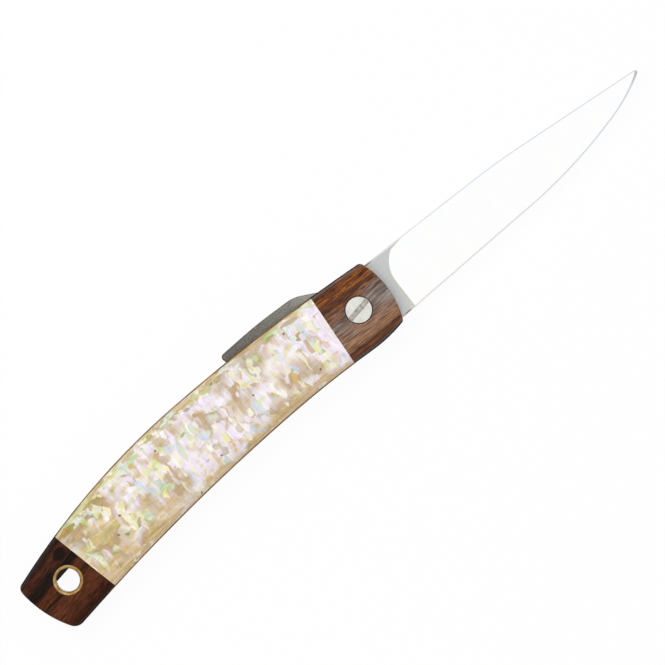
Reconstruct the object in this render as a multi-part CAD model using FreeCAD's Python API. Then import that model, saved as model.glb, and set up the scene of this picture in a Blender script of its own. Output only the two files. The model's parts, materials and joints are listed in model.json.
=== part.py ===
import FreeCAD
import Part
import math
import os

# Friction folding pocket knife, lying open on its left side.
# The blade and its lever tail are one forged piece that turns on the pivot between two steel liners.
# Each liner carries a dark wood backing and three covers: a wood bolster, a shell panel, a wood end block.
# Open, the lever lies on the stop pin. Folded, the blunt heel of the blade meets that pin from below.
# Sizes are in millimetres and angles in degrees.
# The plan is drawn about the pivot: +X towards the tip, +Y towards the back, +Z to the right side.

# Blade, from the pivot
blade_thickness = 3.0
tip_reach = 98.1
tip_drop = 0.2
tip_radius = 0.67
edge_belly_from_tip = 29.9
edge_belly_run_share = 0.985
edge_sweep_from_tip = 8.4
edge_sweep_drop = 4.27
edge_sweep_run_share = 0.61
heel_reach = 12.0
blade_back_bend_from_tip = 45.5
blade_back_bend_rise = 5.66
blade_back_bend_radius = 200.0
ricasso_top_reach = 8.6
ricasso_top_rise = 7.95

# Grinding of the blade
grind_line_rise = 6.8
grind_heel_thickness = 3.2
grind_tip_thickness = 0.9
grind_edge_thickness = 0.3
grind_reach_share = 0.2
grind_station_count = 24
plunge_heel_reach = 12.1
plunge_top_reach = 14.27
plunge_corner_radius = 9.6
plunge_lean = 0.94
plunge_fan_angle = 6.0
bevel_angle = 20.0
bevel_edge_thickness = 0.08
bevel_tool_width = 0.9
bevel_tool_overhang = 0.5

# Tang and lever tail
tang_radius = 8.5
tang_toe_reach = 4.0
tang_toe_radius = 3.0
tang_heel_reach = 6.5
tang_heel_radius = 1.0
tang_top_sink = 0.55
ramp_foot_reach = 3.9
ramp_foot_radius = 2.0
lever_root_sink = 0.3
lever_root_radius = 0.6
lever_shoulder_reach = 10.9
lever_shoulder_rise = 2.77
lever_shoulder_radius = 9.0
lever_crown_share = 0.484
lever_crown_rise = 2.84
lever_crown_radius = 100.0
lever_reach = 35.9
lever_tail_rise = 2.15
lever_tail_radius = 1.1
lever_tail_slant = 0.6
lever_tail_sink = 0.35
lever_toe_radius = 0.4
lever_edge_radius = 0.35

# Stop pin, which meets the heel when the blade has folded this far
fold_angle = 175.1
stop_pin_radius = 0.8
stop_pin_room = 0.3
stop_pin_depth = 1.62
stop_gap = 0.1

# Plan of the handle, from the pivot
front_reach = 9.65
front_edge_radius = 24.3
front_edge_rise = 1.2
front_back_corner_radius = 1.4
front_nose_corner_radius = 1.2
butt_room = 17.5
butt_edge_radius = 31.0
butt_edge_rise = 2.4
butt_back_corner_radius = 1.8
butt_belly_corner_radius = 3.0
back_crest_share = 0.4585
back_crest_rise = 12.78
back_rear_radius = 211.0
back_front_radius = 520.0
belly_crest_share = 0.2682
belly_crest_drop = 9.22
belly_rear_radius = 572.0
belly_front_radius = 300.0
nose_start_reach = 4.0
nose_lift = 0.54

# Layers of the handle, from the middle outwards
washer_radius = 5.5
washer_thickness = 0.25
washer_play = 0.02
liner_thickness = 0.8
backing_thickness = 1.0
cover_thickness = 3.4

# Rounding of the handle: elliptical flanks on both sides of a flat land
belly_flank_width = 6.0
back_flank_width = 3.5
cover_setback = 0.3
land_trim = 0.03
bolster_rim_radius = 0.25
end_block_rim_radius = 0.6
crown_station_count = 28

# Joints between the covers
front_joint_reach = 8.8
front_joint_tilt = 6.9
rear_joint_from_butt = 17.5
rear_joint_tilt = -10.3

# Pivot screw and nut
pivot_barrel_radius = 2.5
pivot_running_play = 0.04
pivot_hole_play = 0.05
pivot_screw_radius = 1.75
pivot_screw_length = 7.0
pivot_thread_play = 0.04
pivot_end_gap = 0.3
pivot_head_radius = 3.6
pivot_head_thickness = 1.6
pivot_head_gap = 0.15
pivot_head_sink = 0.1
pivot_head_rounding = 0.25
pivot_slot_width = 1.4
pivot_slot_depth = 0.7
pivot_slot_turn = 8.3
pivot_nut_slot_turn = 64.0

# Lanyard eyelets
eyelet_from_butt = 11.4
eyelet_height_share = 0.5115
eyelet_bore_radius = 3.1
eyelet_wall = 0.85
eyelet_lip_share = 0.4
eyelet_play = 0.02
eyelet_sink = 0.05

# Back spacer
spacer_front_reach = 24.0
spacer_reveal = 1.98
spacer_edge_room = 0.6
spacer_lever_gap = 0.15
spacer_tail_gap = 0.5

# Pins and dowels
pin_play = 0.02
spacer_pin_radius = 0.75
spacer_pin_shares = (0.18, 0.5, 0.79)
dowel_radius = 0.8
dowel_depth = 1.6
bolster_dowel_reach = 4.6
bolster_dowel_drop = 6.0
end_dowel_reach = 2.8
end_dowel_rise = 6.6

# Cutting tools run this far past what they cut
overrun = 2.0

# Worked out from the sizes above
V = FreeCAD.Vector
ORIGIN = V(0, 0, 0)
Z_AXIS = V(0, 0, 1)
quarter_ellipse_share = 4 * (math.sqrt(2) - 1) / 3
butt_reach = tip_reach + butt_room
back_crest_reach = butt_reach * back_crest_share
belly_crest_reach = butt_reach * belly_crest_share
lever_root_reach = tang_radius - lever_root_sink
lever_crown_reach = lever_shoulder_reach + (lever_reach - lever_shoulder_reach) * lever_crown_share
stop_pin_reach = lever_root_reach + stop_pin_room + stop_pin_radius
eyelet_outer_radius = eyelet_bore_radius + eyelet_wall
blade_face = blade_thickness / 2
liner_base = blade_face + washer_play + washer_thickness
liner_top = liner_base + liner_thickness
backing_top = liner_top + backing_thickness
cover_top = backing_top + cover_thickness
head_seat = cover_top - pivot_head_sink - pivot_head_thickness
pivot_hole_radius = pivot_barrel_radius + pivot_hole_play
tip_corner = V(tip_reach, -tip_drop, 0)
blade_back_bend = V(tip_reach - blade_back_bend_from_tip, blade_back_bend_rise, 0)


# Plan curves
def unit(vector):
    return vector / vector.Length


def crested_y(x, crest_x, crest_y, rear_radius, front_radius):
    """Height at x of a line of two arcs that share a level crest."""
    radius = rear_radius if x < crest_x else front_radius
    return crest_y - radius + math.sqrt(radius ** 2 - (x - crest_x) ** 2)


def back_y(x):
    """Back edge of the handle at x."""
    return crested_y(x, -back_crest_reach, back_crest_rise, back_rear_radius, back_front_radius)


def belly_y(x):
    """Belly edge of the handle at x, behind the nose."""
    return crested_y(x, -belly_crest_reach, -belly_crest_drop, belly_rear_radius, belly_front_radius)


def nose_arc():
    """Start, centre and radius of the nose, which leaves the belly along it and ends on the front edge."""
    start = V(-nose_start_reach, belly_y(-nose_start_reach), 0)
    end_y = start.y + nose_lift
    rise = end_y - front_edge_rise
    end_x = front_reach - front_edge_radius + math.sqrt(front_edge_radius ** 2 - rise ** 2)
    chord = V(end_x, end_y, 0) - start
    slope = (belly_crest_reach - nose_start_reach) / belly_front_radius
    normal = V(slope, math.sqrt(1 - slope ** 2), 0)
    radius = chord.dot(chord) / (2 * chord.dot(normal))
    return start, start + normal * radius, radius


def belly_with_nose_y(x):
    """Belly edge of the handle at x, with the nose."""
    start, centre, radius = nose_arc()
    if x < start.x:
        return belly_y(x)
    return centre.y - math.sqrt(radius ** 2 - (x - centre.x) ** 2)


def line_y(p, q, x):
    """Height at x of the straight line through p and q."""
    return p.y + (q.y - p.y) * (x - p.x) / (q.x - p.x)


def eyelet_centre():
    """Middle of the lanyard hole, a share of the way from belly to back."""
    x = eyelet_from_butt - butt_reach
    return V(x, belly_y(x) + (back_y(x) - belly_y(x)) * eyelet_height_share, 0)


def stop_pin_centre():
    return V(-stop_pin_reach, back_y(-stop_pin_reach) - stop_pin_depth, 0)


def lever_underside():
    """Two points of the lever's straight underside: over the stop pin and at the tail."""
    pin = stop_pin_centre()
    over_pin = V(pin.x, pin.y + stop_pin_radius + stop_gap, 0)
    tail = V(lever_tail_slant - lever_reach, back_y(-lever_reach) - lever_tail_sink, 0)
    return over_pin, tail


# The cutting edge: its heel comes to rest under the stop pin, and two arcs carry it up to the tip
folding = FreeCAD.Rotation(Z_AXIS, -fold_angle)
edge_drop = -folding.inverted().multVec(stop_pin_centre()).y - stop_pin_radius - stop_gap
edge_belly = V(tip_reach - edge_belly_from_tip, -edge_drop, 0)
edge_sweep = V(tip_reach - edge_sweep_from_tip, -edge_sweep_drop, 0)
edge_rise = edge_sweep - edge_belly
edge_end = tip_corner - edge_sweep
sweep_run = edge_end.Length * edge_sweep_run_share
belly_run = (edge_rise.Length - sweep_run) * edge_belly_run_share
edge_belly_radius = belly_run / math.tan(edge_rise.getAngle(V(1, 0, 0)) / 2)
edge_sweep_radius = sweep_run / math.tan(edge_rise.getAngle(edge_end) / 2)


# Building blocks
def raised(point, z):
    return V(point.x, point.y, z)


def chain_edges(corners, closed, z=0):
    """Straight runs through (point, radius) corners at height z, with an arc at each rounded corner."""
    count = len(corners)
    stops = []
    for i, (point, radius) in enumerate(corners):
        if not radius:
            stops.append((point, None, point))
            continue
        back = unit(corners[i - 1][0] - point)
        ahead = unit(corners[(i + 1) % count][0] - point)
        half = back.getAngle(ahead) / 2
        run = radius / math.tan(half)
        middle = point + unit(back + ahead) * (radius / math.sin(half) - radius)
        stops.append((point + back * run, middle, point + ahead * run))
    edges = []
    for i, (first, middle, last) in enumerate(stops):
        if middle is not None:
            edges.append(Part.Arc(raised(first, z), raised(middle, z), raised(last, z)).toShape())
        if closed or i < count - 1:
            start = stops[(i + 1) % count][0]
            edges.append(Part.LineSegment(raised(last, z), raised(start, z)).toShape())
    return edges


def prism(edges, low, high):
    """Upright block of a closed plan outline, from height low to height high."""
    face = Part.Face(Part.Wire(edges))
    face.translate(V(0, 0, low))
    return face.extrude(V(0, 0, high - low))


def rod(centre, radius, low, high):
    return Part.makeCylinder(radius, high - low, raised(centre, low))


def left_of(shape):
    """The same piece on the left side of the knife."""
    return shape.mirror(ORIGIN, Z_AXIS)


# Handle outline
def corner_arc(first, second, radius, near):
    """Start, middle and end of the arc that rounds the corner of two arcs (centre, radius, side)."""
    centre_a, radius_a, side_a = first
    centre_b, radius_b, side_b = second
    reach_a = radius_a - side_a * radius
    reach_b = radius_b - side_b * radius
    across = centre_b - centre_a
    along = (across.Length ** 2 + reach_a ** 2 - reach_b ** 2) / (2 * across.Length)
    aside = math.sqrt(reach_a ** 2 - along ** 2)
    foot = centre_a + unit(across) * along
    normal = unit(V(-across.y, across.x, 0))
    options = (foot + normal * aside, foot - normal * aside)
    centre = min(options, key=near.distanceToPoint)
    start = centre_a + unit(centre - centre_a) * radius_a
    end = centre_b + unit(centre - centre_b) * radius_b
    middle = centre + unit(start + end - centre * 2) * radius
    return start, middle, end


def handle_edges():
    """The handle's outline: back, front edge, nose, belly and butt, with four rounded corners."""
    nose_start, nose_centre, nose_radius = nose_arc()
    back_crest = V(-back_crest_reach, back_crest_rise, 0)
    belly_crest = V(-belly_crest_reach, -belly_crest_drop, 0)
    back_rear = (back_crest - V(0, back_rear_radius, 0), back_rear_radius, 1)
    back_front = (back_crest - V(0, back_front_radius, 0), back_front_radius, 1)
    front = (V(front_reach - front_edge_radius, front_edge_rise, 0), front_edge_radius, 1)
    nose = (nose_centre, nose_radius, 1)
    belly_front = (belly_crest - V(0, belly_front_radius, 0), belly_front_radius, -1)
    belly_rear = (belly_crest - V(0, belly_rear_radius, 0), belly_rear_radius, -1)
    butt = (V(butt_edge_radius - butt_reach, butt_edge_rise, 0), butt_edge_radius, 1)
    top_front = corner_arc(back_front, front, front_back_corner_radius, V(front_reach, back_crest_rise, 0))
    low_front = corner_arc(front, nose, front_nose_corner_radius, V(front_reach, -belly_crest_drop, 0))
    low_butt = corner_arc(belly_rear, butt, butt_belly_corner_radius, V(-butt_reach, -belly_crest_drop, 0))
    top_butt = corner_arc(butt, back_rear, butt_back_corner_radius, V(-butt_reach, back_crest_rise, 0))

    def run(arc, start, end):
        centre, radius, _ = arc
        return start, centre + unit(start + end - centre * 2) * radius, end

    arcs = [
        run(back_rear, top_butt[-1], back_crest),
        run(back_front, back_crest, top_front[0]),
        top_front,
        run(front, top_front[-1], low_front[0]),
        low_front,
        run(nose, low_front[-1], nose_start),
        run(belly_front, nose_start, belly_crest),
        run(belly_rear, belly_crest, low_butt[0]),
        low_butt,
        run(butt, low_butt[-1], top_butt[0]),
        top_butt,
    ]
    return [Part.Arc(*arc).toShape() for arc in arcs]


# Covers, backings and liners
def flank(start, end, upright_first):
    """Quarter ellipse from start to end: upright at one end, level at the other."""
    rise = V(0, 0, (end.z - start.z) * quarter_ellipse_share)
    run = V(0, (end.y - start.y) * quarter_ellipse_share, 0)
    if upright_first:
        poles = [start, start + rise, end - run, end]
    else:
        poles = [start, start + run, end - rise, end]
    curve = Part.BezierCurve()
    curve.setPoles(poles)
    return curve.toShape()


def crown():
    """Body along the handle that rounds one side: a flat land between two elliptical flanks."""
    low = backing_top - overrun
    high = cover_top + land_trim
    first_x = -butt_reach - overrun
    length = front_reach + overrun - first_x
    wires = []
    for i in range(crown_station_count):
        x = first_x + length * i / (crown_station_count - 1)
        belly = belly_with_nose_y(x) + cover_setback
        back = back_y(x) - cover_setback
        belly_foot = V(x, belly, backing_top)
        belly_land = V(x, belly + belly_flank_width, high)
        back_land = V(x, back - back_flank_width, high)
        back_foot = V(x, back, backing_top)
        belly_low = V(x, belly, low)
        back_low = V(x, back, low)
        wires.append(Part.Wire([
            Part.LineSegment(belly_low, belly_foot).toShape(),
            flank(belly_foot, belly_land, True),
            Part.LineSegment(belly_land, back_land).toShape(),
            flank(back_land, back_foot, False),
            Part.LineSegment(back_foot, back_low).toShape(),
            Part.LineSegment(back_low, belly_low).toShape(),
        ]))
    return Part.makeLoft(wires, True, False)


def behind_joint(x, tilt):
    """Block of everything behind a joint between two covers, which crosses the plan's axis at x."""
    reach = butt_reach + front_reach
    block = Part.makeBox(reach, 2 * reach, cover_top, V(x - reach, -reach, 0))
    block.rotate(V(x, 0, 0), Z_AXIS, -tilt)
    return block


def rounded_rim(shape, radius, at_end):
    """A cover with the top rim of its free end rounded: the edges past the holes that climb off the base."""
    rim = []
    for edge in shape.Edges:
        level_run = raised(edge.Vertexes[0].Point - edge.Vertexes[-1].Point, 0).Length
        off_base = edge.CenterOfMass.z > backing_top + pin_play
        if off_base and level_run > pin_play and at_end(edge.optimalBoundingBox(False, False)):
            rim.append(edge)
    return shape.makeFillet(radius, rim)


def drilled(shape, holes):
    """A shape with (centre, radius) holes through its whole height."""
    box = shape.BoundBox
    for centre, radius in holes:
        shape = shape.cut(rod(centre, radius, box.ZMin - overrun, box.ZMax + overrun))
    return shape


def bolster_dowels():
    return [V(-bolster_dowel_reach, -bolster_dowel_drop, 0), V(bolster_dowel_reach, -bolster_dowel_drop, 0)]


def end_dowels():
    offset = V(end_dowel_reach, end_dowel_rise, 0)
    return [eyelet_centre() + offset, eyelet_centre() - offset]


def spacer_pins():
    """Pin centres along the back spacer, midway between its inner edge and the back."""
    inner, outer = spacer_inner_edge()
    centres = []
    for share in spacer_pin_shares:
        x = -spacer_front_reach - (butt_reach - spacer_front_reach) * share
        centres.append(V(x, (line_y(inner, outer, x) + back_y(x)) / 2, 0))
    return centres


def side_pieces():
    """Liner, backing and the three covers of the right side."""
    dowel_hole = dowel_radius + pin_play
    dowels = [(centre, dowel_hole) for centre in bolster_dowels() + end_dowels()]
    rivets = [(centre, spacer_pin_radius + pin_play) for centre in spacer_pins()]
    rivets.append((stop_pin_centre(), stop_pin_radius + pin_play))
    eyelet = (eyelet_centre(), eyelet_outer_radius + eyelet_play)
    pivot = (ORIGIN, pivot_hole_radius)
    edges = handle_edges()
    liner = drilled(prism(edges, liner_base, liner_top), [pivot, eyelet] + dowels + rivets)
    backing = drilled(prism(edges, liner_top, backing_top), [pivot, eyelet] + dowels)
    covers = prism(edges, backing_top, cover_top).common(crown())
    for centre in bolster_dowels() + end_dowels():
        covers = covers.cut(rod(centre, dowel_hole, backing_top, backing_top + dowel_depth))
    covers = drilled(covers, [pivot, eyelet])
    covers = covers.cut(rod(ORIGIN, pivot_head_radius + pivot_head_gap, head_seat, cover_top))
    behind_front = behind_joint(-front_joint_reach, front_joint_tilt)
    behind_rear = behind_joint(rear_joint_from_butt - butt_reach, rear_joint_tilt)
    hole_front = bolster_dowel_reach + dowel_hole
    hole_rear = eyelet_centre().x - eyelet_outer_radius
    front_end = covers.cut(behind_front)
    rear_end = covers.common(behind_rear)
    return {
        "liner": liner,
        "backing": backing,
        "bolster": rounded_rim(front_end, bolster_rim_radius, lambda box: box.XMin > hole_front),
        "shell_panel": covers.common(behind_front).cut(behind_rear),
        "end_block": rounded_rim(rear_end, end_block_rim_radius, lambda box: box.XMax < hole_rear),
    }


# Blade with tang and lever
def blade_outline():
    """Corners of the blade's plan: along the edge to the tip, back over the lever, round the tang."""
    over_pin, under_tail = lever_underside()
    root = V(-lever_root_reach, line_y(over_pin, under_tail, -lever_root_reach), 0)

    def over_back(reach, rise):
        return V(-reach, back_y(-reach) + rise, 0)

    return [
        (edge_belly, edge_belly_radius),
        (edge_sweep, edge_sweep_radius),
        (tip_corner, tip_radius),
        (blade_back_bend, blade_back_bend_radius),
        (V(ricasso_top_reach, ricasso_top_rise, 0), 0),
        (over_back(ramp_foot_reach, -tang_top_sink), ramp_foot_radius),
        (over_back(lever_shoulder_reach, lever_shoulder_rise), lever_shoulder_radius),
        (over_back(lever_crown_reach, lever_crown_rise), lever_crown_radius),
        (over_back(lever_reach, lever_tail_rise), lever_tail_radius),
        (under_tail, lever_toe_radius),
        (root, lever_root_radius),
        (V(-tang_radius, -tang_radius, 0), tang_radius),
        (V(tang_toe_reach, -tang_radius, 0), tang_toe_radius),
        (V(tang_heel_reach, -edge_drop, 0), tang_heel_radius),
    ]


def grind_tool():
    """What the wheel takes off the right face, over straight lines that fall from the back to the edge."""
    start_x = heel_reach - overrun
    edge_corners = [
        (V(start_x, -edge_drop, 0), 0),
        (edge_belly, edge_belly_radius),
        (edge_sweep, edge_sweep_radius),
        (tip_corner - V(0, tip_radius / 2, 0), 0),
    ]
    back_corners = [
        (V(start_x, grind_line_rise, 0), 0),
        (blade_back_bend, blade_back_bend_radius),
        (tip_corner + V(0, tip_radius / 2, 0), 0),
    ]
    edge_points = Part.Wire(chain_edges(edge_corners, False)).discretize(Number=grind_station_count)
    back_points = Part.Wire(chain_edges(back_corners, False)).discretize(Number=grind_station_count)
    low_points = []
    high_points = []
    for i, (edge, back) in enumerate(zip(edge_points, back_points)):
        share = i / (grind_station_count - 1)
        thickness = grind_heel_thickness + (grind_tip_thickness - grind_heel_thickness) * share
        low = raised(edge, grind_edge_thickness / 2)
        high = raised(back, thickness / 2)
        reach = (high - low) * grind_reach_share
        low_points.append(low - reach)
        high_points.append(high + reach)
    low_line = Part.BSplineCurve()
    low_line.interpolate(low_points)
    high_line = Part.BSplineCurve()
    high_line.interpolate(high_points)
    surface = Part.makeRuledSurface(low_line.toShape(), high_line.toShape())
    return surface.extrude(V(0, 0, blade_thickness)).common(plunge_block())


def plunge_block():
    """The ground part of the blade, ahead of a plunge wall that leans back and rounds into the grind line."""
    far_x = tip_reach + overrun
    low_y = -edge_drop - overrun
    top = V(plunge_top_reach, grind_line_rise, 0)
    heel = V(plunge_heel_reach, -edge_drop, 0)
    fan_y = top.y + (far_x - top.x) * math.tan(math.radians(plunge_fan_angle))
    low_x = heel.x + (low_y - heel.y) * (top.x - heel.x) / (top.y - heel.y)
    corners = [
        (V(low_x, low_y, 0), 0),
        (V(far_x, low_y, 0), 0),
        (V(far_x, fan_y, 0), 0),
        (top, plunge_corner_radius),
    ]
    face = Part.Face(Part.Wire(chain_edges(corners, True)))
    return face.extrude(V(-plunge_lean * blade_thickness, 0, blade_thickness))


def bevel_line(inset):
    """The cutting edge moved into the blade by inset, at the height that the bevel has there."""
    heel = V(heel_reach, -edge_drop, 0)
    past_tip = tip_corner + unit(tip_corner - edge_sweep) * overrun
    points = [heel, edge_belly, edge_sweep, past_tip]
    radii = [0, edge_belly_radius - inset, edge_sweep_radius - inset, 0]
    normals = []
    for p, q in zip(points, points[1:]):
        along = unit(q - p)
        normals.append(V(-along.y, along.x, 0))
    moved = [heel + normals[0] * inset]
    for point, before, after in zip(points[1:], normals, normals[1:]):
        mitre = unit(before + after)
        moved.append(point + mitre * (inset / mitre.dot(before)))
    moved.append(past_tip + normals[-1] * inset)
    height = bevel_edge_thickness / 2 + inset * math.tan(math.radians(bevel_angle))
    return chain_edges(list(zip(moved, radii)), False, height)


def lever_rim(body):
    """Edges of the lever's two faces, over its ramp, top and tail."""
    over_pin, under_tail = lever_underside()
    rim = []
    for edge in body.Edges:
        middle = edge.CenterOfMass
        on_face = abs(middle.z) > blade_face - pin_play
        over_lever = middle.y > line_y(over_pin, under_tail, middle.x) + stop_gap
        if on_face and over_lever and middle.x < -ramp_foot_reach:
            rim.append(edge)
    return rim


def blade():
    body = prism(chain_edges(blade_outline(), True), -blade_face, blade_face)
    body = body.makeFillet(lever_edge_radius, lever_rim(body))
    body = drilled(body, [(ORIGIN, pivot_barrel_radius + pivot_running_play)])
    tools = [grind_tool()]
    for low, high in zip(bevel_line(-bevel_tool_overhang), bevel_line(bevel_tool_width)):
        tools.append(Part.makeRuledSurface(low, high).extrude(V(0, 0, blade_thickness)))
    for tool in tools:
        body = body.cut(tool)
        body = body.cut(left_of(tool))
    return body


# Pivot
def slotted_head(turn):
    """Head of the pivot screw on the right side, with its slot turned from the handle's axis."""
    head = rod(ORIGIN, pivot_head_radius, head_seat, head_seat + pivot_head_thickness)
    rim = [e for e in head.Edges if e.Closed and e.CenterOfMass.z > head_seat]
    head = head.makeFillet(pivot_head_rounding, rim)
    length = 2 * pivot_head_radius + overrun
    floor = head_seat + pivot_head_thickness - pivot_slot_depth
    corner = V(-length / 2, -pivot_slot_width / 2, floor)
    slot = Part.makeBox(length, pivot_slot_width, pivot_slot_depth + overrun, corner)
    slot.rotate(ORIGIN, Z_AXIS, turn)
    return head.cut(slot)


def pivot_screw():
    shank = rod(ORIGIN, pivot_screw_radius, head_seat - pivot_screw_length, head_seat)
    return slotted_head(pivot_slot_turn).fuse(shank).removeSplitter()


def pivot_nut():
    """Left head with the barrel on which the blade turns, open to the screw at its right end."""
    barrel = rod(ORIGIN, pivot_barrel_radius, -head_seat, head_seat - pivot_end_gap)
    nut = left_of(slotted_head(pivot_nut_slot_turn)).fuse(barrel).removeSplitter()
    bore_end = head_seat - pivot_screw_length - pivot_end_gap
    return nut.cut(rod(ORIGIN, pivot_screw_radius + pivot_thread_play, bore_end, head_seat))


def washer():
    ring = rod(ORIGIN, washer_radius, liner_base - washer_thickness, liner_base)
    return drilled(ring, [(ORIGIN, pivot_hole_radius)])


# Lanyard eyelet
def eyelet():
    """Brass tube through liner, backing and end block, its mouth rounded on the inside."""
    tube = rod(eyelet_centre(), eyelet_outer_radius, liner_base, cover_top - eyelet_sink)
    tube = drilled(tube, [(eyelet_centre(), eyelet_bore_radius)])
    mouth = [e for e in tube.Edges if e.Closed and e.CenterOfMass.z > liner_top]
    mouth = min(mouth, key=lambda e: e.Length)
    return tube.makeFillet(eyelet_wall * eyelet_lip_share, [mouth])


# Back spacer and pins
def spacer_inner_edge():
    """Two points of the spacer's straight inner edge: in the lanyard hole and clear of the folded edge."""
    in_hole = eyelet_centre() + V(0, spacer_reveal, 0)
    over_edge = folding.multVec(edge_belly - V(belly_run, 0, 0)) + V(0, spacer_edge_room, 0)
    return over_edge, in_hole


def back_spacer():
    """Strip along the back between the liners, notched under the lever."""
    inner, outer = spacer_inner_edge()
    over_pin, under_tail = lever_underside()
    front_x = -spacer_front_reach
    notch_x = -lever_reach - spacer_tail_gap
    rear_x = -butt_reach - overrun
    high_y = back_crest_rise + overrun
    corners = [
        V(front_x, line_y(inner, outer, front_x), 0),
        V(front_x, line_y(over_pin, under_tail, front_x) - spacer_lever_gap, 0),
        V(notch_x, line_y(over_pin, under_tail, notch_x) - spacer_lever_gap, 0),
        V(notch_x, high_y, 0),
        V(rear_x, high_y, 0),
        V(rear_x, line_y(inner, outer, rear_x), 0),
    ]
    region = prism(chain_edges([(corner, 0) for corner in corners], True), -liner_base, liner_base)
    strip = prism(handle_edges(), -liner_base, liner_base).common(region)
    return drilled(strip, [(centre, spacer_pin_radius + pin_play) for centre in spacer_pins()])


def through_pins(centres, radius):
    """Pins from the outside of one liner to the outside of the other."""
    return Part.makeCompound([rod(centre, radius, -liner_top, liner_top) for centre in centres])


def dowels(centres):
    """Dowels on both sides, from the inside of a liner into the cover."""
    right = [rod(centre, dowel_radius, liner_base, backing_top + dowel_depth) for centre in centres]
    return Part.makeCompound(right + [left_of(dowel) for dowel in right])


# Assembly
pieces = {
    "blade": blade(),
    "back_spacer": back_spacer(),
    "stop_pin": rod(stop_pin_centre(), stop_pin_radius, -liner_top, liner_top),
    "spacer_pins": through_pins(spacer_pins(), spacer_pin_radius),
    "bolster_dowels": dowels(bolster_dowels()),
    "end_block_dowels": dowels(end_dowels()),
    "pivot_screw": pivot_screw(),
    "pivot_nut": pivot_nut(),
}
both_sides = side_pieces()
both_sides["washer"] = washer()
both_sides["lanyard_eyelet"] = eyelet()
for name, shape in both_sides.items():
    pieces[name + "_right"] = shape
    pieces[name + "_left"] = left_of(shape)

# The knife's frame: on the floor, in the middle of its length and width
box = Part.makeCompound(list(pieces.values())).optimalBoundingBox(False, False)
shift = V(-box.Center.x, -box.Center.y, cover_top)
os.makedirs("parts", exist_ok=True)
for name, shape in pieces.items():
    shape.translate(shift)
    shape.exportStep("parts/" + name + ".step")
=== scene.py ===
import json
import math

import bpy
import numpy as np
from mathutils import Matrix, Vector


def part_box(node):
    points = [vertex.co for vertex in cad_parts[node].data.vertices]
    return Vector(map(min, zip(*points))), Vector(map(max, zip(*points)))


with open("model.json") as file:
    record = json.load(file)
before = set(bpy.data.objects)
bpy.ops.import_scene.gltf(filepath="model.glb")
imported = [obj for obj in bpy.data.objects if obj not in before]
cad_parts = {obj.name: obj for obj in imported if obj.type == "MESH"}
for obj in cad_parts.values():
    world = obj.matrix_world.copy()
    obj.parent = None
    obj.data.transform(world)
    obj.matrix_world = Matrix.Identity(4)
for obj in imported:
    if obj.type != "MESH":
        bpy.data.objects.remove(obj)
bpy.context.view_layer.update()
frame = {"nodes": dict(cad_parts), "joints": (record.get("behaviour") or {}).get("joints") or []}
nodes = frame["nodes"]


# Blade, ricasso and lever tail: one forged piece of stainless steel that turns on the pivot screw.
# The ground faces are buffed to a mirror and the ricasso keeps a fine belt-ground satin.
# The lever's satin is painted darker towards its tail as painted shade, over the grain that forging
# left on it.
def linear(code):
    """An sRGB hex colour as linear red, green, blue and alpha."""
    parts = np.array([int(code[i : i + 2], 16) for i in (1, 3, 5)]) / 255
    curved = ((parts + 0.055) / 1.055) ** 2.4
    return (*np.where(parts <= 0.04045, parts / 12.92, curved).tolist(), 1.0)


def add(tree, kind, sockets=None, out=0, stops=None, **settings):
    """Adds one node and gives back one of its outputs.

    sockets holds values or links, stops a ramp's places and hex colours. Sockets go by number where
    names repeat: a map range has 0 value, 1 and 2 from, 3 and 4 to, a colour mix 0 share, 6 and 7
    colours, with the result at 2.
    """
    node = tree.nodes.new("ShaderNode" + kind)
    for name, value in settings.items():
        setattr(node, name, value)
    for key, value in (sockets or {}).items():
        if isinstance(value, bpy.types.NodeSocket):
            tree.links.new(value, node.inputs[key])
        else:
            node.inputs[key].default_value = value
    if stops:
        ramp = node.color_ramp.elements
        while len(ramp) < len(stops):
            ramp.new(1.0)
        for element, (place, code) in zip(ramp, stops):
            element.position = place
            element.color = linear(code)
    return node.outputs[out] if node.outputs else node


def finish_named(name):
    """An empty node material and its tree."""
    material = bpy.data.materials.new(name)
    material.use_nodes = True
    material.node_tree.nodes.clear()
    return material, material.node_tree


def dress(material, *names):
    """Puts a finish on CAD nodes."""
    for name in names:
        for slot in nodes[name].material_slots:
            slot.material = material


blade_steel, tree = finish_named("stainless_steel_buffed_and_satin")
pivot = frame["joints"][0]["pos_m"]
mm_per_m = 1000.0
place = add(tree, "TexCoord", out="Object")
from_pivot = add(tree, "VectorMath", {0: place, 1: pivot}, operation="SUBTRACT")
millimetres = add(tree, "VectorMath", {0: from_pivot, "Scale": mm_per_m}, operation="SCALE")
along = add(tree, "SeparateXYZ", {0: millimetres}, out="X")
across = add(tree, "SeparateXYZ", {0: millimetres}, out="Y")
# The wheel left the ground faces a few degrees off the flat ones.
# It didn't reach the steep plunge wall.
normal = add(tree, "TexCoord", out="Normal")
upright = add(tree, "SeparateXYZ", {0: normal}, out="Z")
flatness = add(tree, "Math", {0: upright}, operation="ABSOLUTE")
off_flat = add(tree, "MapRange", {0: flatness, 1: 0.9998, 2: 0.9992, 3: 0.0, 4: 1.0})
not_steep = add(tree, "MapRange", {0: flatness, 1: 0.86, 2: 0.91, 3: 0.0, 4: 1.0})
ground = add(tree, "Math", {0: off_flat, 1: not_steep}, operation="MULTIPLY")
on_blade = add(tree, "MapRange", {0: along, 1: 8.0, 2: 9.0, 3: 0.0, 4: 1.0})
ground = add(tree, "Math", {0: ground, 1: on_blade}, operation="MULTIPLY")
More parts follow.
